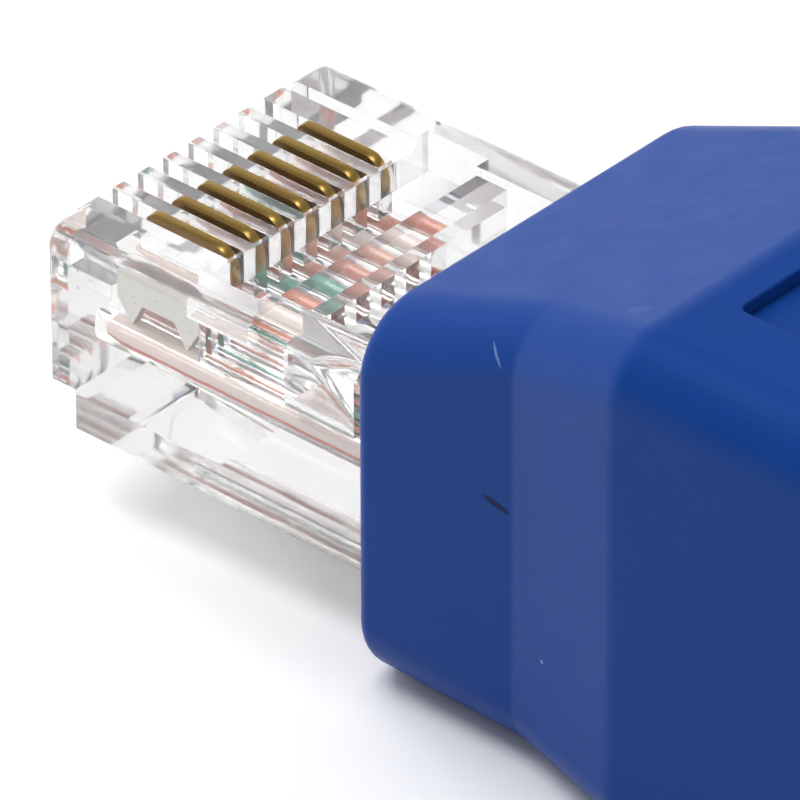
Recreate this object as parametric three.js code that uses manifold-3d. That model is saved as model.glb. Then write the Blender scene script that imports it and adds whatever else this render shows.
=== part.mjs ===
// Plug-to-socket ethernet adapter: a clear modular plug in a blue moulded housing that flares
// towards a modular socket. Millimetres, +Z up, nose of the plug towards -X, socket towards +X,
// contacts on top, near side -Y.
import * as THREE from 'three';
import { mergeVertices } from 'three/addons/utils/BufferGeometryUtils.js';
import Module from 'manifold-3d';

const wasm = await Module();
wasm.setup();

// Driving dimensions
const overallLength = 52;
const fitClearance = 0.05;       // between pieces that are pressed together
const looseClearance = 0.3;      // between pieces that must not touch

const plugWidth = 11.2;
const plugHeight = 6.3;
const plugLength = 22;
const plugStandout = 12.45;      // how far the plug reaches out of the housing
const noseStepLength = 0.85;
const noseStepHeight = 1.25;
const noseProud = 0.3;           // fins and nose middle ahead of the side walls
const edgeRounding = 0.45;       // outer top edges of the plug
const postWall = 1.45;           // side walls beside the contacts

const contactPitch = 1.016;
const contactCount = 7;
const springCount = 8;
const slotWidth = 0.56;
const finTop = 5.92;
const finRear = 4.6;
const contactTop = 6.02;
const contactFront = 1.3;
const contactRear = 4.4;
const contactThickness = 0.46;
const contactBendRadius = 0.7;
const contactTipDepth = 0.75;

const shelfHeight = 5.0;         // top of the clear body between the fins and the strain window
const troughSideWall = 0.95;     // beside the trough between the fins and the strain bar
const barFront = 6.8;
const barLength = 1.1;
const barTop = 6.0;
const windowLength = 2.5;
const windowDepth = 1.5;
const sideWall = 1.45;

const wireDiameter = 0.72;
const wireHeight = 2.75;         // wire centre above the plug's underside
const wireFront = 1.0;

const leverThickness = 0.7;
const leverBaseWidth = 6.0;
const leverTipWidth = 3.25;
const leverRoot = 1.6;
const leverLength = 13.2;
const leverTaperStart = 6.5;
const leverTaperEnd = 8.5;
const leverAngle = 5;
const leverBite = 0.2;

const housingUnder = 2.3;        // housing underside below the plug's underside
const collarWidth = 14.3;
const collarTop = 9.3;           // housing top above the plug's underside at the front face
const collarLength = 5.5;
const flareLength = 4.4;
const bodyWidth = 16.8;
const bodyTop = 13.2;
const cornerRadius = 2.1;
const endRounding = 0.25;
const cornerSteps = 7;

const recessFront = 1.1;         // from the end of the flare
const recessRear = 3.0;          // from the rear face
const recessSide = 3.75;
const recessDepth = 0.35;
const leverSlotWidth = 7.0;
const leverSlotLength = 4.0;

const wireSpaceWidth = 9.6;
const wireSpaceHeight = 3.0;

const socketDepth = 16;
const socketWall = 1.0;
const jackWidth = 11.9;
const jackHeight = 6.9;
const jackDepth = 13.5;
const keyWidths = [6.3, 4.0];
const keyHeights = [1.3, 1.2];
const springThickness = 0.4;
const springDrop = 2.1;
const springRun = 8.5;
const springBackSeat = 0.6;

// Derived places
const plugFront = -overallLength / 2 + noseProud;
const housingFront = plugFront + plugStandout;
const flareFront = housingFront + collarLength;
const bodyFront = flareFront + flareLength;
const rearFace = overallLength / 2;
const plugUnder = housingUnder;
const wireReach = overallLength - noseProud - socketDepth - looseClearance;
const rowY = (i, count) => (i - (count - 1) / 2) * contactPitch;
const contactAreaWidth = contactCount * contactPitch;

const finishes = {
  clear: new THREE.MeshStandardMaterial({
    color: 0xdfe4e4, roughness: 0.08, metalness: 0, transparent: true, opacity: 0.45,
  }),
  blue: new THREE.MeshStandardMaterial({ color: 0x24408c, roughness: 0.45, metalness: 0 }),
  gold: new THREE.MeshStandardMaterial({ color: 0xa97b32, roughness: 0.28, metalness: 1 }),
  socket: new THREE.MeshStandardMaterial({ color: 0x1d3069, roughness: 0.5, metalness: 0 }),
};
const wireColors = [0xd8561f, 0xe8cfc0, 0x2c8a63, 0x2a6db0, 0xd6e6d3, 0xc46a4a, 0xe5d8cb];

// Solids and booleans
function toSolid(geometry) {
  const bare = geometry.clone();
  bare.deleteAttribute('normal');
  bare.deleteAttribute('uv');
  const merged = mergeVertices(bare, 1e-5);
  return new wasm.Manifold(new wasm.Mesh({
    numProp: 3,
    vertProperties: new Float32Array(merged.attributes.position.array),
    triVerts: new Uint32Array(merged.index.array),
  }));
}

function toGeometry(solid) {
  const mesh = solid.getMesh();
  const geometry = new THREE.BufferGeometry();
  geometry.setAttribute('position', new THREE.Float32BufferAttribute(mesh.vertProperties, 3));
  geometry.setIndex(Array.from(mesh.triVerts));
  geometry.computeVertexNormals();
  return geometry;
}

function block(x0, x1, y0, y1, z0, z1) {
  const geometry = new THREE.BoxGeometry(x1 - x0, y1 - y0, z1 - z0);
  geometry.translate((x0 + x1) / 2, (y0 + y1) / 2, (z0 + z1) / 2);
  return geometry;
}

const cutBlock = (...corners) => toSolid(block(...corners));

// Extrudes a side view, drawn in X and Z, to a width centred on a place along Y
function sideExtrusion(shape, width, centreY) {
  const geometry = new THREE.ExtrudeGeometry(shape, { depth: width, bevelEnabled: false });
  geometry.rotateX(Math.PI / 2);
  geometry.translate(0, centreY + width / 2, 0);
  return geometry;
}

// Extrudes a cross-section, drawn in Y and Z, along X from zero
function frontExtrusion(shape, length) {
  const geometry = new THREE.ExtrudeGeometry(shape, {
    depth: length, bevelEnabled: false, curveSegments: 4,
  });
  geometry.rotateX(Math.PI / 2);
  geometry.rotateZ(Math.PI / 2);
  return geometry;
}

function outline(points) {
  return new THREE.Shape(points.map(([x, y]) => new THREE.Vector2(x, y)));
}

// Points of one rounded cross-section across Y and Z
function sectionRing(halfWidth, low, high, radius) {
  const centres = [
    [halfWidth - radius, low + radius, -Math.PI / 2],
    [halfWidth - radius, high - radius, 0],
    [-halfWidth + radius, high - radius, Math.PI / 2],
    [-halfWidth + radius, low + radius, Math.PI],
  ];
  const ring = [];
  for (const [y, z, start] of centres) {
    for (let i = 0; i <= cornerSteps; i++) {
      const angle = start + (i / cornerSteps) * Math.PI / 2;
      ring.push([y + radius * Math.cos(angle), z + radius * Math.sin(angle)]);
    }
  }
  return ring;
}

// Skin over a row of cross-sections, closed at both ends
function loft(stations) {
  const positions = [];
  const index = [];
  const count = stations[0].ring.length;
  for (const { x, ring } of stations) {
    for (const [y, z] of ring) positions.push(x, y, z);
  }
  for (let s = 0; s + 1 < stations.length; s++) {
    for (let i = 0; i < count; i++) {
      const a = s * count + i;
      const b = s * count + (i + 1) % count;
      index.push(a, b, b + count, a, b + count, a + count);
    }
  }
  const last = (stations.length - 1) * count;
  for (let i = 1; i + 1 < count; i++) {
    index.push(0, i + 1, i);
    index.push(last, last + i, last + i + 1);
  }
  const geometry = new THREE.BufferGeometry();
  geometry.setAttribute('position', new THREE.Float32BufferAttribute(positions, 3));
  geometry.setIndex(index);
  return geometry;
}

const adapter = new THREE.Group();

function addPiece(name, geometry, material) {
  const mesh = new THREE.Mesh(geometry, material);
  mesh.name = name;
  adapter.add(mesh);
  return mesh;
}

function plugSection() {
  const half = plugWidth / 2;
  const round = edgeRounding;
  const shape = new THREE.Shape();
  shape.moveTo(-half, 0);
  shape.lineTo(half, 0);
  shape.lineTo(half, plugHeight - round);
  shape.absarc(half - round, plugHeight - round, round, 0, Math.PI / 2, false);
  shape.lineTo(-half + round, plugHeight);
  shape.absarc(-half + round, plugHeight - round, round, Math.PI / 2, Math.PI, false);
  return shape;
}

// Clear plug, with its latch lever moulded on
function plugSolid() {
  const top = plugHeight;
  const past = 1;
  let solid = toSolid(frontExtrusion(plugSection(), plugLength));
  solid = solid.subtract(cutBlock(-past, noseStepLength, -plugWidth, plugWidth, -past,
    noseStepHeight));
  const innerHalf = plugWidth / 2 - sideWall;
  const troughHalf = plugWidth / 2 - troughSideWall;
  const windowFront = barFront + barLength;
  const windowRear = windowFront + windowLength;
  const postHalf = plugWidth / 2 - postWall;
  solid = solid.add(cutBlock(-noseProud, noseStepLength, -postHalf, postHalf, noseStepHeight,
    finTop));
  // fins stand lower than the side walls, and the shelf behind them is lower still
  solid = solid.subtract(cutBlock(-past, finRear, -postHalf, postHalf, finTop, top + past));
  solid = solid.subtract(cutBlock(finRear, barFront, -troughHalf, troughHalf, shelfHeight,
    top + past));
  solid = solid.subtract(cutBlock(barFront - fitClearance, windowFront + fitClearance, -innerHalf,
    innerHalf, barTop, top + past));
  solid = solid.subtract(cutBlock(windowRear - fitClearance, plugStandout + looseClearance,
    -innerHalf, innerHalf, shelfHeight, top + past));
  solid = solid.subtract(cutBlock(windowFront, windowRear, -innerHalf, innerHalf,
    shelfHeight - windowDepth, top + past));
  const wireTop = wireHeight + wireDiameter / 2;
  for (let i = 0; i < contactCount; i++) {
    const near = rowY(i, contactCount) - slotWidth / 2;
    const far = rowY(i, contactCount) + slotWidth / 2;
    solid = solid.subtract(cutBlock(-past, contactRear + fitClearance, near, far,
      shelfHeight - contactTipDepth, top + past));
    solid = solid.subtract(cutBlock(contactFront - fitClearance, contactRear + fitClearance,
      near, far, wireTop, top));
  }
  // one flat channel takes the row of wires, open at the rear
  const channelHalf = contactAreaWidth / 2;
  const channelGap = wireDiameter / 2 + looseClearance / 2;
  solid = solid.subtract(cutBlock(wireFront - looseClearance, plugLength + past, -channelHalf,
    channelHalf, wireHeight - channelGap, wireHeight + channelGap));
  return solid.add(toSolid(leverGeometry()));
}

function leverGeometry() {
  const base = leverBaseWidth / 2;
  const tip = leverTipWidth / 2;
  const plan = outline([
    [0, -base], [leverTaperStart, -base], [leverTaperEnd, -tip], [leverLength, -tip],
    [leverLength, tip], [leverTaperEnd, tip], [leverTaperStart, base], [0, base],
  ]);
  const geometry = new THREE.ExtrudeGeometry(plan, { depth: leverThickness, bevelEnabled: false });
  geometry.translate(0, 0, -leverThickness + leverBite);
  geometry.rotateY(THREE.MathUtils.degToRad(leverAngle));
  geometry.translate(leverRoot, 0, 0);
  return geometry;
}

const plug = addPiece('plug_body', toGeometry(plugSolid()), finishes.clear);
plug.position.set(plugFront, 0, plugUnder);

// Gold contact blades: a flat top that bends down at the rear, and two piercing points below
function bladeShape() {
  const low = wireHeight + wireDiameter / 2 + fitClearance;
  const middle = (contactFront + contactRear) / 2;
  const shape = new THREE.Shape();
  shape.moveTo(contactFront, low + contactTipDepth);
  shape.lineTo(contactFront + contactTipDepth / 2, low);
  shape.lineTo(middle, low + contactTipDepth);
  shape.lineTo(contactRear - contactTipDepth / 2, low);
  shape.lineTo(contactRear, low + contactTipDepth);
  shape.lineTo(contactRear, contactTop - contactBendRadius);
  shape.absarc(contactRear - contactBendRadius, contactTop - contactBendRadius,
    contactBendRadius, 0, Math.PI / 2, false);
  shape.lineTo(contactFront, contactTop);
  return shape;
}

for (let i = 0; i < contactCount; i++) {
  const geometry = sideExtrusion(bladeShape(), contactThickness, 0);
  const blade = addPiece(`contact_blade_${i + 1}`, geometry, finishes.gold);
  blade.position.set(plugFront, rowY(i, contactCount), plugUnder);
}

// Insulated wires, from under the contacts back to the socket
for (let i = 0; i < contactCount; i++) {
  const geometry = new THREE.CylinderGeometry(wireDiameter / 2, wireDiameter / 2,
    wireReach - wireFront, 10);
  geometry.rotateZ(Math.PI / 2);
  geometry.translate((wireReach + wireFront) / 2, 0, wireHeight);
  const color = wireColors[i % wireColors.length];
  const material = new THREE.MeshStandardMaterial({ color, roughness: 0.5 });
  const wire = addPiece(`wire_${i + 1}`, geometry, material);
  wire.position.set(plugFront, rowY(i, contactCount), plugUnder);
}

// Blue housing: a collar whose top rises from the front face, a flare and a larger body
function housingStation(x, width, top, shrink) {
  const ring = sectionRing(width / 2 - shrink, shrink, top + plugUnder - shrink,
    cornerRadius - shrink / 2);
  return { x, ring };
}

function housingSolid() {
  const rise = (bodyTop - collarTop) / (collarLength + flareLength);
  const flareTop = collarTop + rise * collarLength;
  let solid = toSolid(loft([
    housingStation(housingFront, collarWidth, collarTop, endRounding),
    housingStation(housingFront + endRounding, collarWidth, collarTop + rise * endRounding, 0),
    housingStation(flareFront, collarWidth, flareTop, 0),
    housingStation(bodyFront, bodyWidth, bodyTop, 0),
    housingStation(rearFace - endRounding, bodyWidth, bodyTop, 0),
    housingStation(rearFace, bodyWidth, bodyTop, endRounding),
  ]));
  const past = 1;
  const plugHalf = plugWidth / 2 + fitClearance;
  const plugRear = plugFront + plugLength + fitClearance;
  solid = solid.subtract(cutBlock(housingFront - past, plugRear, -plugHalf, plugHalf,
    plugUnder - fitClearance, plugUnder + plugHeight + fitClearance));
  const slotHalf = leverSlotWidth / 2;
  solid = solid.subtract(cutBlock(housingFront - past, housingFront + leverSlotLength,
    -slotHalf, slotHalf, -past, plugUnder + past));
  const wireHalf = wireSpaceWidth / 2;
  const wireZ = plugUnder + wireHeight;
  solid = solid.subtract(cutBlock(plugRear - past, rearFace - socketDepth + past, -wireHalf,
    wireHalf, wireZ - wireSpaceHeight / 2, wireZ + wireSpaceHeight / 2));
  const insert = insertBox(fitClearance);
  solid = solid.subtract(cutBlock(rearFace - socketDepth - fitClearance, rearFace + past,
    -insert.half, insert.half, insert.low, insert.high));
  const recessHalf = bodyWidth / 2 - recessSide;
  const top = bodyTop + plugUnder;
  return solid.subtract(cutBlock(bodyFront + recessFront, rearFace - recessRear, -recessHalf,
    recessHalf, top - recessDepth, top + past));
}

// Socket insert: outer box, jack cavity and the stepped keyway for a plug's latch
function insertBox(clearance) {
  const half = jackWidth / 2 + socketWall + clearance;
  const keyway = keyHeights[0] + keyHeights[1];
  const middle = (bodyTop + plugUnder) / 2;
  const halfHeight = (jackHeight + keyway) / 2 + socketWall + clearance;
  return { half, low: middle - halfHeight, high: middle + halfHeight };
}

function insertSolid() {
  const box = insertBox(0);
  const past = 1;
  const mouth = rearFace + past;
  const back = rearFace - jackDepth;
  let solid = cutBlock(rearFace - socketDepth, rearFace, -box.half, box.half, box.low, box.high);
  const jackTop = box.high - socketWall;
  const jackLow = jackTop - jackHeight;
  solid = solid.subtract(cutBlock(back, mouth, -jackWidth / 2, jackWidth / 2, jackLow, jackTop));
  let low = jackLow;
  keyWidths.forEach((width, step) => {
    const next = low - keyHeights[step];
    solid = solid.subtract(cutBlock(back, mouth, -width / 2, width / 2, next, low + past));
    low = next;
  });
  return { solid, jackTop, jackLow, back };
}

const insert = insertSolid();
addPiece('housing', toGeometry(housingSolid()), finishes.blue);
addPiece('socket_insert', toGeometry(insert.solid), finishes.socket);

// Socket springs: fixed at the cavity's back wall, sloping forwards and down from its roof
function springShape() {
  const roof = insert.jackTop - fitClearance;
  const back = insert.back + fitClearance;
  const front = back + springRun;
  return outline([
    [back, roof - springDrop - springThickness], [back + springBackSeat,
      roof - springDrop - springThickness], [front, roof - springThickness],
    [front + springBackSeat, roof - springThickness], [front + springBackSeat, roof],
    [front, roof], [back + springBackSeat, roof - springDrop], [back, roof - springDrop],
  ]);
}

for (let i = 0; i < springCount; i++) {
  const geometry = sideExtrusion(springShape(), contactThickness, rowY(i, springCount));
  addPiece(`socket_spring_${i + 1}`, geometry, finishes.gold);
}

export default adapter;
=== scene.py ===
import math

import bmesh
import bpy
from mathutils import Matrix, Vector


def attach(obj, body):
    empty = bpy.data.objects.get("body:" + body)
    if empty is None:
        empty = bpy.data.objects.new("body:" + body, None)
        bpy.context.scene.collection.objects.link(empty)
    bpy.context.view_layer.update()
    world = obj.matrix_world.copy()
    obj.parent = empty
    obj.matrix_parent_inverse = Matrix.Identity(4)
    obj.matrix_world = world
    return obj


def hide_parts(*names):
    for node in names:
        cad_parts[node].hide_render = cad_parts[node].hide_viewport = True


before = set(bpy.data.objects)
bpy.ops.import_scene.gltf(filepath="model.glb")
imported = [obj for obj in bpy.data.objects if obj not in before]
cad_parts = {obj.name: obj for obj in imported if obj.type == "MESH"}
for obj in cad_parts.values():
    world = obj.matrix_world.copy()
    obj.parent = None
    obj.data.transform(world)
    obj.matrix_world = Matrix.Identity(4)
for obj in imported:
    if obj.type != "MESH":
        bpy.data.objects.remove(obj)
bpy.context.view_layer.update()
mm = 0.001   # the dictionaries below are in mm, and lights in m


def newMaterial(name):
    mat = bpy.data.materials.new(name)
    mat.use_nodes = True
    tree = mat.node_tree
    shader = tree.nodes["Principled BSDF"]
    return mat, tree, shader


def addNode(tree, kind, **settings):
    node = tree.nodes.new(kind)
    for key, value in settings.items():
        if key in node.inputs:
            node.inputs[key].default_value = value
        else:
            setattr(node, key, value)
    return node


def setInputs(node, values):
    for key, value in values.items():
        node.inputs[key].default_value = value


def objectCoords(tree):
    return addNode(tree, "ShaderNodeTexCoord").outputs["Object"]


def noiseAt(tree, coords, scale, detail=3.0, rough=0.55):
    node = addNode(tree, "ShaderNodeTexNoise")
    setInputs(node, {"Scale": scale, "Detail": detail, "Roughness": rough})
    tree.links.new(coords, node.inputs["Vector"])
    return node.outputs["Fac"]


def remap(tree, value, fromLow, fromHigh, toLow, toHigh):
    node = addNode(tree, "ShaderNodeMapRange")
    for i, v in enumerate((fromLow, fromHigh, toLow, toHigh)):
        node.inputs[i + 1].default_value = v
    tree.links.new(value, node.inputs[0])
    return node.outputs[0]


def mixColour(tree, fac, a, b):
    node = addNode(tree, "ShaderNodeMix", data_type="RGBA")
    for socket, value in ((node.inputs[0], fac), (node.inputs[6], a), (node.inputs[7], b)):
        if isinstance(value, (tuple, list, float, int)):
            socket.default_value = (*value, 1.0) if isinstance(value, (tuple, list)) else value
        else:
            tree.links.new(value, socket)
    return node.outputs[2]


def addBump(tree, shader, height, strength, distance):
    bump = addNode(tree, "ShaderNodeBump")
    setInputs(bump, {"Strength": strength, "Distance": distance})
    tree.links.new(height, bump.inputs["Height"])
    tree.links.new(bump.outputs["Normal"], shader.inputs["Normal"])
    return bump


def patch(tree, coords, place, turn, reach, strength):
    # a small soft-edged oval at a place in mm, turned about Y, for handling marks
    oval = addNode(tree, "ShaderNodeMapping", vector_type="TEXTURE")
    oval.inputs["Location"].default_value = [v * mm for v in place]
    oval.inputs["Rotation"].default_value = (0, math.radians(turn), 0)
    oval.inputs["Scale"].default_value = [v * mm for v in reach]
    tree.links.new(coords, oval.inputs["Vector"])
    length = addNode(tree, "ShaderNodeVectorMath", operation="LENGTH")
    tree.links.new(oval.outputs[0], length.inputs[0])
    return remap(tree, length.outputs["Value"], 0.6, 1.0, strength, 0)


def meshObject(name, bm):
    bmesh.ops.recalc_face_normals(bm, faces=bm.faces)
    mesh = bpy.data.meshes.new(name)
    bm.to_mesh(mesh)
    bm.free()
    obj = bpy.data.objects.new(name, mesh)
    bpy.context.scene.collection.objects.link(obj)
    return obj


def applyModifiers(obj):
    deps = bpy.context.evaluated_depsgraph_get()
    mesh = bpy.data.meshes.new_from_object(obj.evaluated_get(deps))
    obj.modifiers.clear()
    old = obj.data
    obj.data = mesh
    mesh.name = old.name + "_mesh"
    bpy.data.meshes.remove(old)


def cut(obj, cutter, operation="DIFFERENCE"):
    mod = obj.modifiers.new("cut", "BOOLEAN")
    mod.operation = operation
    mod.solver = "EXACT"
    mod.object = cutter
    applyModifiers(obj)
    bpy.data.objects.remove(cutter)


def bevel(obj, width, segments=2, angle=30):
    mod = obj.modifiers.new("bevel", "BEVEL")
    mod.width = width * mm
    mod.segments = segments
    mod.limit_method = "ANGLE"
    mod.angle_limit = math.radians(angle)
    mod.harden_normals = False
    applyModifiers(obj)


def smoothByAngle(obj, angle=35):
    bm = bmesh.new()
    bm.from_mesh(obj.data)
    for face in bm.faces:
        face.smooth = True
    limit = math.radians(angle)
    for edge in bm.edges:
        edge.smooth = not (len(edge.link_faces) == 2 and edge.calc_face_angle(0.0) > limit)
    bm.to_mesh(obj.data)
    bm.free()
    mod = obj.modifiers.new("weights", "WEIGHTED_NORMAL")
    mod.keep_sharp = True


def roundedRing(halfWidth, low, high, radius, steps=8):
    points = []
    corners = ((halfWidth - radius, high - radius, 0), (-halfWidth + radius, high - radius, 90),
               (-halfWidth + radius, low + radius, 180), (halfWidth - radius, low + radius, 270))
    for y, z, start in corners:
        for i in range(steps + 1):
            a = math.radians(start + 90 * i / steps)
            points.append((y + radius * math.cos(a), z + radius * math.sin(a)))
    return points


def loftRings(name, rings):
    # rings are lists of points in mm, all of one length
    bm = bmesh.new()
    rows = [[bm.verts.new(Vector(p) * mm) for p in ring] for ring in rings]
    for a, b in zip(rows, rows[1:]):
        n = len(a)
        for i in range(n):
            bm.faces.new((a[i], a[(i + 1) % n], b[(i + 1) % n], b[i]))
    bm.faces.new(rows[0])
    bm.faces.new(rows[-1])
    return meshObject(name, bm)


def boxBetween(name, low, high):
    (x0, y0, z0), (x1, y1, z1) = low, high
    return loftRings(name, [[(x, y0, z0), (x, y1, z0), (x, y1, z1), (x, y0, z1)] for x in (x0, x1)])


def sideProfile(name, points, y0, y1):
    return loftRings(name, [[(x, y, z) for x, z in points] for y in (y0, y1)])


housing = dict(
    noseX=-13.33, endX=26.0, collarEnd=-7.75, flareEnd=-3.35,
    collarHalf=7.15, bodyHalf=8.4, topFront=11.6, topBody=15.5, corner=2.05, bodyCorner=1.8,
    slopeStart=-13.25, creaseStart=0.22, creaseEnd=0.4, topCrease=0.7, frontRound=0.5, backRound=0.45,
    recessFront=-2.25, recessRear=23.0, recessHalf=4.65, recessDepth=0.38, recessRim=0.07, recessCorner=0.25,
    seatRear=-3.65, seatHalf=5.65, seatLow=2.25, seatHigh=8.65,
    leverRear=-9.25, leverHalf=3.5, leverHigh=3.3,
    passageRear=10.05, passageHalf=4.8, passageLow=3.55, passageHigh=6.55,
    socketFront=9.98, socketHalf=6.97, socketLow=2.03, socketHigh=13.47, socketCorner=0.6, past=0.6,
    colour=(0.006, 0.052, 0.270), colourLow=(0.005, 0.045, 0.242), roughness=(0.33, 0.41),
    ior=1.2,   # low, for a soft satin skin
    nick=((-8.3, -7.2, 8.0), 11, (0.58, 1.2, 0.13)),   # place, turn about Y, half sizes
    scuff=((-8.5, -7.0, 12.5), 38, (0.45, 0.45, 0.055)),
    smudge=((-4.6, -5.8, 14.9), 15, (0.45, 0.3, 0.6)),
    specks=((-6.35, -7.6, 4.1), (-3.9, -2.66, 15.4)),
    nickColour=(0.002, 0.008, 0.05), scuffColour=(0.16, 0.24, 0.50), speckColour=(0.35, 0.42, 0.62),
)


def averaged(f, x, width, samples=9):
    return sum(f(x + width * ((i + 0.5) / samples - 0.5)) for i in range(samples)) / samples


def housingHalf(x):
    s = housing
    t = min(max((x - s["collarEnd"]) / (s["flareEnd"] - s["collarEnd"]), 0), 1)
    return s["collarHalf"] + (s["bodyHalf"] - s["collarHalf"]) * t


def housingTop(x):
    s = housing
    t = min(max((x - s["slopeStart"]) / (s["flareEnd"] - s["slopeStart"]), -1), 1)
    return s["topFront"] + (s["topBody"] - s["topFront"]) * t


def housingRing(x, inset):
    s = housing
    width = s["creaseStart"] if x < 0.5 * (s["collarEnd"] + s["flareEnd"]) else s["creaseEnd"]
    half = averaged(housingHalf, x, width)
    top = averaged(housingTop, x, s["topCrease"])
    t = min(max((x - s["noseX"]) / (s["collarEnd"] - s["noseX"]), 0), 1)
    corner = s["corner"] + (s["bodyCorner"] - s["corner"]) * t
    return [(x, y, z) for y, z in roundedRing(half - inset, inset, top - inset, corner - inset, 10)]


def buildHousing():
    s = housing
    rings = []
    for i in range(9):
        a = math.radians(90 * i / 8)
        r = s["frontRound"]
        rings.append(housingRing(s["noseX"] + r * (1 - math.cos(a)), r * (1 - math.sin(a))))
    x = s["noseX"] + s["frontRound"] + 0.4
    while x < s["flareEnd"] + 1.5:
        rings.append(housingRing(x, 0))
        near = min(abs(x - s["collarEnd"]), abs(x - s["flareEnd"]))
        x += 0.06 if near < 0.6 else 0.4
    while x < s["endX"] - s["backRound"] - 0.8:
        rings.append(housingRing(x, 0))
        x += 2.0
    for i in range(9):
        a = math.radians(90 * i / 8)
        r = s["backRound"]
        rings.append(housingRing(s["endX"] - r * (1 - math.sin(a)), r * (1 - math.cos(a))))
    return loftRings("housing_shell", rings)


def roundedBlock(name, halfLength, halfWidth, radius, centreX, levels):
    # levels are (z, grow) pairs in mm, so that a rim can open out
    rings = []
    for z, grow in levels:
        pts = roundedRing(halfWidth + grow, -(halfLength + grow), halfLength + grow, radius + grow, 6)
        rings.append([(centreX + b, a, z) for a, b in pts])
    return loftRings(name, rings)


def flaredLevels(floor, rim, radius, steps=5):
    levels = [(floor, 0.0)]
    for i in range(steps + 1):
        a = math.radians(90 * i / steps)
        levels.append((rim - radius + radius * math.sin(a), radius * (1 - math.cos(a))))
    return levels + [(rim + 0.5, radius)]


def openHousing(shell):
    s = housing
    start = s["noseX"] - s["past"]
    cut(shell, boxBetween("plugSeat", (start, -s["seatHalf"], s["seatLow"]),
                          (s["seatRear"], s["seatHalf"], s["seatHigh"])))
    cut(shell, boxBetween("leverSlot", (start, -s["leverHalf"], -0.5),
                          (s["leverRear"], s["leverHalf"], s["leverHigh"])))
    cut(shell, boxBetween("wirePassage", (s["seatRear"] - 0.05, -s["passageHalf"], s["passageLow"]),
                          (s["passageRear"], s["passageHalf"], s["passageHigh"])))
    halfLength = (s["recessRear"] - s["recessFront"]) / 2
    middle = (s["recessRear"] + s["recessFront"]) / 2
    cut(shell, roundedBlock("topRecess", halfLength, s["recessHalf"], s["recessCorner"], middle,
                            flaredLevels(s["topBody"] - s["recessDepth"], s["topBody"], s["recessRim"])))
    seat = roundedRing(s["socketHalf"], s["socketLow"], s["socketHigh"], s["socketCorner"], 5)
    cut(shell, loftRings("socketSeat", [[(x, y, z) for y, z in seat] for x in (s["socketFront"], s["endX"] + 1)]))


shell = buildHousing()
openHousing(shell)
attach(shell, "root")
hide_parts("housing")
smoothByAngle(shell, 30)
print("housing built")

mat, tree, shader = newMaterial("satinBlue")
coords = objectCoords(tree)
cloud = noiseAt(tree, coords, 260, 4)
skin = mixColour(tree, cloud, housing["colourLow"], housing["colour"])
skin = mixColour(tree, patch(tree, coords, *housing["smudge"], 0.12), skin, housing["scuffColour"])
skin = mixColour(tree, patch(tree, coords, *housing["scuff"], 0.8), skin, housing["scuffColour"])
skin = mixColour(tree, patch(tree, coords, *housing["nick"], 0.9), skin, housing["nickColour"])
for place in housing["specks"]:
    speck = patch(tree, coords, place, 0, (0.07, 0.5, 0.07), 0.7)
    skin = mixColour(tree, speck, skin, housing["speckColour"])
tree.links.new(skin, shader.inputs["Base Color"])
tree.links.new(remap(tree, noiseAt(tree, coords, 900, 3), 0.3, 0.7, *housing["roughness"]),
               shader.inputs["Roughness"])
shader.inputs["IOR"].default_value = housing["ior"]
addBump(tree, shader, noiseAt(tree, coords, 9000, 2), 0.12, 0.00003)
shell.data.materials.clear()
shell.data.materials.append(mat)

plug = dict(
    nose=-26.0, sideNose=-25.7, rear=-3.7, half=5.6, low=2.3, top=8.6, step=0.85, stepTop=3.55,
    finTop=8.22, finRear=-21.1, finHalf=4.15, above=12.0,
    slotPitch=1.016, slotWidth=0.56, slotFront=-26.2, slotRear=-21.25, slotFloor=6.55, bladeFront=-24.45,
    troughRear=-18.9, troughHalf=4.65, troughFloor=7.3,
    barRear=-17.8, barTop=8.3, windowRear=-15.3, windowFloor=5.8, shelfRear=-12.95, shelfFloor=7.3,
    wireHeight=5.05, wireRoom=0.5, wireFront=-25.0, edge=0.09, outerEdge=0.45, postRound=0.3,
    stepFront=-20.5, stepIn=0.14, stepLow=2.8, stepHigh=3.1,
)
lever = dict(rootX=-24.1, length=13.2, thick=0.7, rootHalf=3.0, tipHalf=1.625, taperStart=6.5, taperEnd=8.5,
             tilt=5.0, bite=0.3, edge=0.12)


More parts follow.
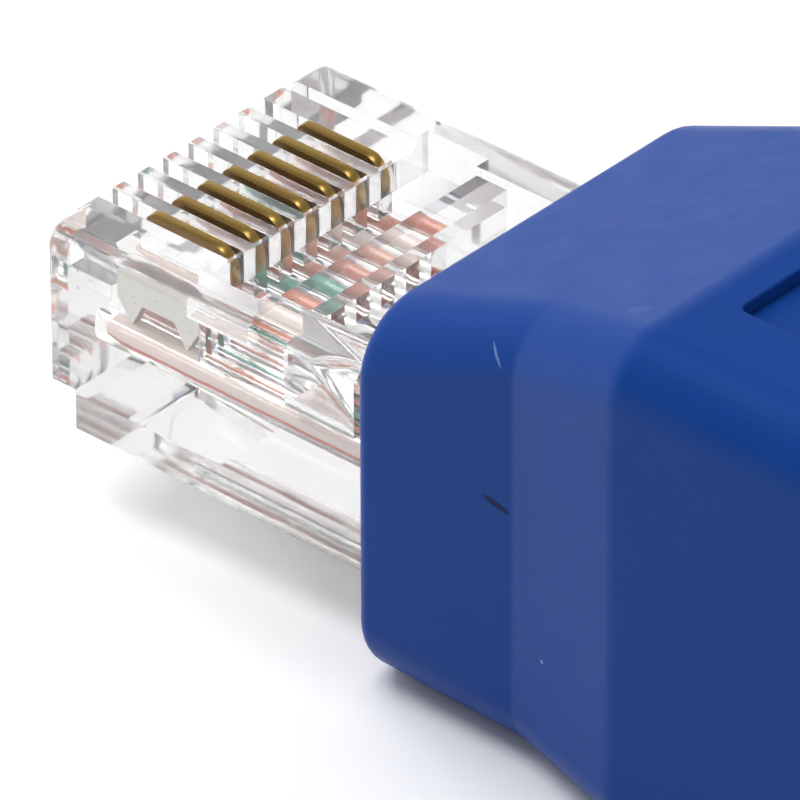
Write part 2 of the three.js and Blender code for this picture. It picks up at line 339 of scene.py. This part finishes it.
def buildPlug():
    s = plug
    # centre part with the nose face, and the two sides that stand a little back
    r, rings = s["postRound"], []
    for i in range(6):
        a = math.radians(90 * i / 5)
        x, drop = s["sideNose"] + r * (1 - math.cos(a)), r * (1 - math.sin(a))
        rings.append([(x, y, z) for y, z in outerSection(s, drop)])
    rings.append([(s["rear"], y, z) for y, z in outerSection(s, 0)])
    body = loftRings("plug_clear", rings)
    nose = boxBetween("nose", (s["nose"], -s["finHalf"], s["stepTop"]),
                      (s["nose"] + 1.5, s["finHalf"], s["top"]))
    cut(body, nose, "UNION")
    fin, up = s["finHalf"], s["above"]
    trims = [
        ((s["nose"] - 1, -9, 0), (s["sideNose"] + s["step"], 9, s["stepTop"])),
        ((s["nose"] - 1, -fin, s["finTop"]), (s["finRear"], fin, up)),
        ((s["finRear"], -s["troughHalf"], s["troughFloor"]), (s["troughRear"], s["troughHalf"], up)),
        ((s["troughRear"] - 0.01, -fin, s["barTop"]), (s["barRear"] + 0.01, fin, up)),
        ((s["barRear"], -fin, s["windowFloor"]), (s["windowRear"], fin, up)),
        ((s["windowRear"] - 0.01, -fin, s["shelfFloor"]), (s["shelfRear"], fin, up)),
    ]
    for low, high in trims:
        cut(body, boxBetween("trim", low, high))
    for i in range(-3, 4):
        y, w = i * s["slotPitch"], s["slotWidth"] / 2
        cut(body, boxBetween("slot", (s["slotFront"], y - w, s["slotFloor"]), (s["slotRear"], y + w, up)))
        cut(body, boxBetween("well", (s["bladeFront"], y - w, s["wireHeight"]), (s["slotRear"], y + w, up)))
    cut(body, wireRoom())
    for sign in (-1, 1):   # parting step low on each side
        cut(body, boxBetween("partingStep", (s["stepFront"], sign * (s["half"] - s["stepIn"]), s["stepLow"]),
                             (s["rear"] + 1, sign * 9, s["stepHigh"])))
    bevel(body, s["edge"], 2, 40)
    cut(body, buildLever(), "UNION")
    return body


def outerSection(s, drop):
    pts, r = [], s["outerEdge"]
    for sign in (1, -1):
        arc = [math.radians(90 * i / 5) for i in range(6)]
        if sign == -1:
            arc = arc[::-1]
        for a in arc:
            pts.append((sign * (s["half"] - r + r * math.cos(a)), s["top"] - drop - r + r * math.sin(a)))
    return pts + [(-s["half"], s["low"]), (s["half"], s["low"])]


def wireRoom():
    # seven round passages side by side that run into one another
    s = plug
    edge = math.radians(20)   # each arc stops this far above its neighbour
    arc = []
    for i in range(-3, 4):
        for k in range(7):
            a = math.pi - edge - (math.pi - 2 * edge) * k / 6
            arc.append((i * s["slotPitch"] + 0.5 * s["slotPitch"] * math.cos(a) / math.cos(edge),
                        s["wireRoom"] * math.sin(a)))
    arc = [p for i, p in enumerate(arc) if i == 0 or abs(p[0] - arc[i - 1][0]) > 1e-4]
    loop = [(y, s["wireHeight"] + rise) for y, rise in arc]
    loop += [(y, s["wireHeight"] - rise) for y, rise in arc[::-1]]
    return loftRings("wireRoom", [[(x, y, z) for y, z in loop] for x in (s["wireFront"], s["rear"] + 1)])


def buildLever():
    s = lever
    rings = []
    tilt = math.radians(s["tilt"])
    for t, half in ((0, s["rootHalf"]), (s["taperStart"], s["rootHalf"]), (s["taperEnd"], s["tipHalf"]),
                    (s["length"], s["tipHalf"])):
        x = s["rootX"] + t * math.cos(tilt)
        z = plug["low"] + s["bite"] - t * math.sin(tilt)
        rings.append([(x, half, z), (x, -half, z), (x, -half, z - s["thick"]), (x, half, z - s["thick"])])
    obj = loftRings("lever", rings)
    bevel(obj, s["edge"], 2, 40)
    return obj


plugClear = buildPlug()
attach(plugClear, "root")
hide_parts("plug_body")
smoothByAngle(plugClear, 30)
mat, tree, shader = newMaterial("clearPolycarbonate")
coords = objectCoords(tree)
setInputs(shader, {"IOR": 1.5, "Transmission Weight": 0.955})
tree.links.new(mixColour(tree, noiseAt(tree, coords, 300), (0.985, 0.99, 0.985), (1.0, 1.0, 1.0)),
               shader.inputs["Base Color"])
tree.links.new(remap(tree, noiseAt(tree, coords, 700), 0.3, 0.7, 0.03, 0.09), shader.inputs["Roughness"])
addBump(tree, shader, noiseAt(tree, coords, 350, 2), 0.12, 0.00006)
plugClear.data.materials.clear()
plugClear.data.materials.append(mat)
print("plug built", len(plugClear.data.polygons))

# side is a painted shade colour: the blade sides are painted a darker brown for the shade they stand in
blade = dict(front=-24.4, rear=-21.3, top=8.32, low=5.46, point=0.75, thick=0.37, shift=0.04,
             bend=0.62, noseBend=0.3, edge=0.05, platingLow=6.9, platingHigh=7.5,
             gilt=(0.70, 0.47, 0.14), giltWorn=(0.56, 0.35, 0.09),
             side=(0.26, 0.15, 0.05), bare=(0.80, 0.78, 0.72))


def bladeProfile():
    s = blade
    pts = [(s["rear"], s["low"] + 0.9)]
    for i in range(7):
        a = math.radians(90 * i / 6)
        pts.append((s["rear"] - s["bend"] + s["bend"] * math.cos(a),
                    s["top"] - s["bend"] + s["bend"] * math.sin(a)))
    for i in range(4):
        a = math.radians(90 + 90 * i / 3)
        pts.append((s["front"] + s["noseBend"] + s["noseBend"] * math.cos(a),
                    s["top"] - s["noseBend"] + s["noseBend"] * math.sin(a)))
    # two points that bite through the insulation
    notch = s["low"] + s["point"]
    pts += [(s["front"], notch), (s["front"] + 0.55, s["low"]), (s["front"] + 0.95, notch),
            (s["rear"] - 1.0, notch), (s["rear"] - 0.55, s["low"])]
    return pts


mat, tree, shader = newMaterial("giltBronze")
coords = objectCoords(tree)
facingOut = addNode(tree, "ShaderNodeSeparateXYZ")
tree.links.new(addNode(tree, "ShaderNodeTexCoord").outputs["Normal"], facingOut.inputs[0])
sideways = addNode(tree, "ShaderNodeMath", operation="ABSOLUTE")
tree.links.new(facingOut.outputs["Y"], sideways.inputs[0])
height = addNode(tree, "ShaderNodeSeparateXYZ")
tree.links.new(coords, height.inputs[0])
bladeColour = mixColour(tree, noiseAt(tree, coords, 900), blade["giltWorn"], blade["gilt"])
# painted shade: faces turned sideways, found from the normal, are painted the darker side colour
bladeColour = mixColour(tree, remap(tree, sideways.outputs[0], 0.3, 0.9, 0, 1), bladeColour, blade["side"])
# the plating stops below the part of the blade that touches a spring
below = remap(tree, height.outputs["Z"], blade["platingLow"] * mm, blade["platingHigh"] * mm, 1, 0)
bladeColour = mixColour(tree, below, bladeColour, blade["bare"])
tree.links.new(bladeColour, shader.inputs["Base Color"])
tree.links.new(remap(tree, sideways.outputs[0], 0.3, 0.9, 1.0, 0.45), shader.inputs["Metallic"])
tree.links.new(remap(tree, noiseAt(tree, coords, 2500), 0.3, 0.7, 0.26, 0.40), shader.inputs["Roughness"])
addBump(tree, shader, noiseAt(tree, coords, 6000, 2), 0.15, 0.00003)
gilt = mat
for i in range(-3, 4):
    y = i * plug["slotPitch"] + blade["shift"]
    half = blade["thick"] / 2
    obj = sideProfile(f"blade_{i + 4}", bladeProfile(), y - half, y + half)
    bevel(obj, blade["edge"], 2, 40)
    smoothByAngle(obj, 30)
    obj.data.materials.clear()
    obj.data.materials.append(gilt)
    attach(obj, "root")
    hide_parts(f"contact_blade_{i + 4}")
print("contacts built")

wires = dict(radius=0.475, front=-24.7, rear=9.7, sides=18, rows=60, wave=0.012,
             stripeLow=4.76, stripeHigh=4.96, stripe=(0.66, 0.07, 0.02))
wireLooks = [
    ("wire_orange", (0.93, 0.74, 0.68), (0.94, 0.82, 0.77)),
    ("wire_pale_orange", (0.70, 0.20, 0.12), (0.76, 0.30, 0.20)),
    ("wire_green", (0.10, 0.36, 0.28), (0.18, 0.46, 0.38)),
    ("wire_blue", (0.66, 0.24, 0.18), (0.72, 0.34, 0.26)),
    ("wire_pale_green", (0.76, 0.36, 0.28), (0.80, 0.46, 0.38)),
    ("wire_orange", (0.93, 0.74, 0.68), (0.94, 0.82, 0.77)),
    ("wire_pale_orange", (0.70, 0.20, 0.12), (0.76, 0.30, 0.20)),
]


def buildWire(index):
    s = wires
    y0 = (index - 3) * plug["slotPitch"]
    rings = []
    for k in range(s["rows"] + 1):
        t = k / s["rows"]
        x = s["front"] + (s["rear"] - s["front"]) * t
        r = s["radius"] - s["wave"] * (1 + math.sin(3 * x + index))
        if k == 0:
            r *= 0.8
        turns = [2 * math.pi * j / s["sides"] for j in range(s["sides"])]
        rings.append([(x, y0 + r * math.cos(a), plug["wireHeight"] + r * math.sin(a)) for a in turns])
    return loftRings(f"wire_visual_{index + 1}", rings)


wireMats = {}   # wires of one colour share one material
for i, (slotName, colourA, colourB) in enumerate(wireLooks):
    obj = buildWire(i)
    if slotName not in wireMats:
        mat, tree, shader = newMaterial(slotName + "_insulation")
        coords = objectCoords(tree)
        skin = mixColour(tree, noiseAt(tree, coords, 400), colourA, colourB)
        if slotName == "wire_orange":
            place = addNode(tree, "ShaderNodeSeparateXYZ")
            tree.links.new(coords, place.inputs[0])
            middle = (wires["stripeLow"] + wires["stripeHigh"]) / 2 * mm
            reach = (wires["stripeHigh"] - wires["stripeLow"]) / 2 * mm
            above = addNode(tree, "ShaderNodeMath", operation="SUBTRACT")
            tree.links.new(place.outputs["Z"], above.inputs[0])
            above.inputs[1].default_value = middle
            away = addNode(tree, "ShaderNodeMath", operation="ABSOLUTE")
            tree.links.new(above.outputs[0], away.inputs[0])
            stripe = remap(tree, away.outputs[0], reach * 0.8, reach, 1, 0)
            skin = mixColour(tree, stripe, skin, wires["stripe"])
        tree.links.new(skin, shader.inputs["Base Color"])
        shader.inputs["Roughness"].default_value = 0.4
        addBump(tree, shader, noiseAt(tree, coords, 3000, 2), 0.1, 0.00003)
        wireMats[slotName] = mat
    smoothByAngle(obj, 40)
    obj.data.materials.append(wireMats[slotName])
    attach(obj, "root")
    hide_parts(f"wire_{i + 1}")
print("wires built")

socket = dict(front=10.0, rear=26.0, half=6.95, low=2.05, high=13.45, corner=0.55, edge=0.12,
              jackHalf=5.95, jackLow=5.55, jackHigh=12.45, back=12.5, leadIn=0.35,
              keys=((3.15, 4.25, 5.6), (2.0, 3.05, 4.3)), combRear=14.0, combLow=10.5, combWidth=0.4,
              colour=(0.008, 0.040, 0.21), colourLow=(0.006, 0.032, 0.17))
spring = dict(thick=0.4, pitch=1.016, count=8, backX=12.55, frontX=21.65, roof=12.4, lowZ=9.9,
              bendX=20.9, sides=10, gilt=(0.86, 0.62, 0.24), giltWorn=(0.76, 0.52, 0.18))


def buildSocket():
    s = socket
    body = loftRings("socket_moulding", [
        [(x, y, z) for y, z in roundedRing(s["half"] - g, s["low"] + g, s["high"] - g, s["corner"], 5)]
        for x, g in ((s["front"], 0), (s["rear"] - 0.15, 0), (s["rear"], 0.12))])

    def opening(half, low, high):
        # opens out a little at the mouth
        g = s["leadIn"]
        stations = ((s["back"], 0), (s["rear"] - g, 0), (s["rear"] + 0.01, g * 0.7), (s["rear"] + 1, g * 0.7))
        return loftRings("mouth", [
            [(x, y, z) for y, z in roundedRing(half + d, low - d, high + d, 0.25, 3)] for x, d in stations])

    cut(body, opening(s["jackHalf"], s["jackLow"], s["jackHigh"]))
    for half, low, high in s["keys"]:
        cut(body, boxBetween("keyway", (s["back"], -half, low), (s["rear"] + 1, half, high)))
    bevel(body, s["edge"], 2, 50)
    for i in range(spring["count"] + 1):
        y = (i - spring["count"] / 2) * spring["pitch"]
        rib = boxBetween("rib", (s["back"] - 0.2, y - s["combWidth"] / 2, s["combLow"]),
                         (s["combRear"], y + s["combWidth"] / 2, s["jackHigh"] + 0.2))
        bevel(rib, 0.08, 2, 40)
        cut(body, rib, "UNION")
    return body


def springPath():
    s = spring
    r = s["thick"] / 2
    start = Vector((s["frontX"], 0, s["roof"] - r))
    corner = Vector((s["bendX"], 0, s["roof"] - r))
    end = Vector((s["backX"], 0, s["lowZ"] + r))
    before = corner + Vector((0.25, 0, 0))   # the bend starts here
    points = [start, before]
    for i in range(1, 8):
        t = i / 8
        points.append(before.lerp(corner, t).lerp(corner.lerp(corner + (end - corner) * 0.06, t), t))
    return points + [corner + (end - corner) * t for t in (0.1, 0.3, 0.6, 0.9, 0.97)] + [end]


def buildSpring(index):
    s = spring
    y = (index - (s["count"] - 1) / 2) * s["pitch"]
    path = springPath()
    rings = []
    for k, p in enumerate(path):
        before, after = path[max(k - 1, 0)], path[min(k + 1, len(path) - 1)]
        along = (after - before).normalized()
        across = Vector((0, 1, 0))
        up = along.cross(across).normalized()
        r = s["thick"] / 2 * (0.75 if k in (0, len(path) - 1) else 1.0)
        turns = [2 * math.pi * j / s["sides"] for j in range(s["sides"])]
        rings.append([Vector((p.x, y, p.z)) + across * r * math.cos(a) + up * r * math.sin(a) for a in turns])
    return loftRings(f"spring_{index + 1}", rings)


insert = buildSocket()
mat, tree, shader = newMaterial("socketBlue")
coords = objectCoords(tree)
tree.links.new(mixColour(tree, noiseAt(tree, coords, 260, 4), socket["colourLow"], socket["colour"]),
               shader.inputs["Base Color"])
tree.links.new(remap(tree, noiseAt(tree, coords, 900, 3), 0.3, 0.7, 0.36, 0.46), shader.inputs["Roughness"])
shader.inputs["IOR"].default_value = 1.35
addBump(tree, shader, noiseAt(tree, coords, 7000, 2), 0.12, 0.00003)
insert.data.materials.clear()
insert.data.materials.append(mat)
smoothByAngle(insert, 30)
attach(insert, "root")
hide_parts("socket_insert")
mat, tree, shader = newMaterial("springGilt")
coords = objectCoords(tree)
tree.links.new(mixColour(tree, noiseAt(tree, coords, 900), spring["giltWorn"], spring["gilt"]),
               shader.inputs["Base Color"])
tree.links.new(remap(tree, noiseAt(tree, coords, 2500), 0.3, 0.7, 0.26, 0.40), shader.inputs["Roughness"])
shader.inputs["Metallic"].default_value = 0.6
addBump(tree, shader, noiseAt(tree, coords, 6000, 2), 0.1, 0.00003)
for i in range(spring["count"]):
    obj = buildSpring(i)
    smoothByAngle(obj, 60)
    obj.data.materials.append(mat)
    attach(obj, "root")
    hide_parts(f"socket_spring_{i + 1}")
print("socket built")

floorHalf = 0.9
bm = bmesh.new()
for x, y in ((-1, -1), (1, -1), (1, 1), (-1, 1)):
    bm.verts.new((x * floorHalf, y * floorHalf, 0.0))
bm.faces.new(bm.verts)
floor = meshObject("floor", bm)
floorMat, tree, shader = newMaterial("paleFloor")
coords = objectCoords(tree)
tree.links.new(mixColour(tree, noiseAt(tree, coords, 40), (0.93, 0.93, 0.94), (0.95, 0.95, 0.95)),
               shader.inputs["Base Color"])
shader.inputs["Roughness"].default_value = 0.9
floor.data.materials.append(floorMat)

world = bpy.data.worlds.new("studio")
bpy.context.scene.world = world
world.use_nodes = True
sky = world.node_tree
facing = addNode(sky, "ShaderNodeVectorMath", operation="DOT_PRODUCT")
sky.links.new(addNode(sky, "ShaderNodeTexCoord").outputs["Generated"], facing.inputs[0])
facing.inputs[1].default_value = (-0.45, 0.65, -0.6)   # the bright side of the room
shade = remap(sky, facing.outputs["Value"], 0.15, 0.9, 0.22, 0.95)
sky.links.new(mixColour(sky, shade, (0, 0, 0), (1, 1, 1)), sky.nodes["Background"].inputs["Color"])

# a white tent that only the light bent by the clear plastic can see
bm = bmesh.new()
bmesh.ops.create_icosphere(bm, subdivisions=4, radius=0.8)
tent = meshObject("tent", bm)
tentMat = bpy.data.materials.new("tentWhite")
tentMat.use_nodes = True
tentShader = tentMat.node_tree.nodes["Principled BSDF"]
setInputs(tentShader, {"Base Color": (0, 0, 0, 1), "Emission Color": (1, 1, 1, 1), "Emission Strength": 0.95})
tent.data.materials.append(tentMat)
tent.visible_camera = tent.visible_diffuse = tent.visible_glossy = tent.visible_shadow = False
cycles = bpy.context.scene.cycles
cycles.max_bounces = 24
cycles.transmission_bounces = 24
cycles.glossy_bounces = 12


def softLight(name, place, target, width, height, power):
    data = bpy.data.lights.new(name, "AREA")
    data.shape = "RECTANGLE"
    data.size = width
    data.size_y = height
    data.energy = power
    obj = bpy.data.objects.new(name, data)
    obj.location = place
    obj.rotation_euler = (Vector(target) - Vector(place)).to_track_quat("-Z", "Y").to_euler()
    bpy.context.scene.collection.objects.link(obj)
    return obj


lights = dict(   # place, aim, width, height in m, then watts
    leftSoftbox=((-0.44, 0.0, 0.13), (0, 0, 0.005), 0.55, 0.30, 1.25),
    overheadSoftbox=((-0.20, -0.03, 0.42), (0, 0, 0.005), 0.34, 0.34, 2.0),
    contactSparkle=((0.05, 0.10, 0.40), (-0.022, 0, 0.008), 0.10, 0.05, 0.3),
    rearFill=((0.20, 0.0, 0.035), (0.020, 0, 0.008), 0.10, 0.06, 0.10),
)
lamps = {name: softLight(name, *values) for name, values in lights.items()}
lamps["leftSoftbox"].visible_glossy = False       # no white streak on the blue
lamps["overheadSoftbox"].visible_glossy = False
lamps["contactSparkle"].visible_diffuse = False   # only glints on the gilt
print("stage lit")

camera = dict(roll=-0.18, lens=504.75, aim=(-18.028, 0.012, 3.415), eye=(150.898, -189.386, 172.222))


def placeCamera():
    s = camera
    data = bpy.data.cameras.new("camera")
    data.lens = s["lens"]
    data.sensor_width = 36
    data.clip_start = 0.01
    data.clip_end = 10
    data.dof.use_dof = False
    obj = bpy.data.objects.new("camera", data)
    eye = Vector(s["eye"]) * mm
    aim = Vector(s["aim"]) * mm
    back = (eye - aim).normalized()
    right = Vector((0, 0, 1)).cross(back).normalized()
    up = back.cross(right)
    roll = math.radians(s["roll"])
    right, up = (right * math.cos(roll) + up * math.sin(roll),
                 up * math.cos(roll) - right * math.sin(roll))
    obj.matrix_world = Matrix(((right.x, up.x, back.x, eye.x), (right.y, up.y, back.y, eye.y),
                               (right.z, up.z, back.z, eye.z), (0, 0, 0, 1)))
    bpy.context.scene.collection.objects.link(obj)
    bpy.context.scene.camera = obj


placeCamera()
bpy.context.scene.view_settings.view_transform = "Standard"
print("camera placed")
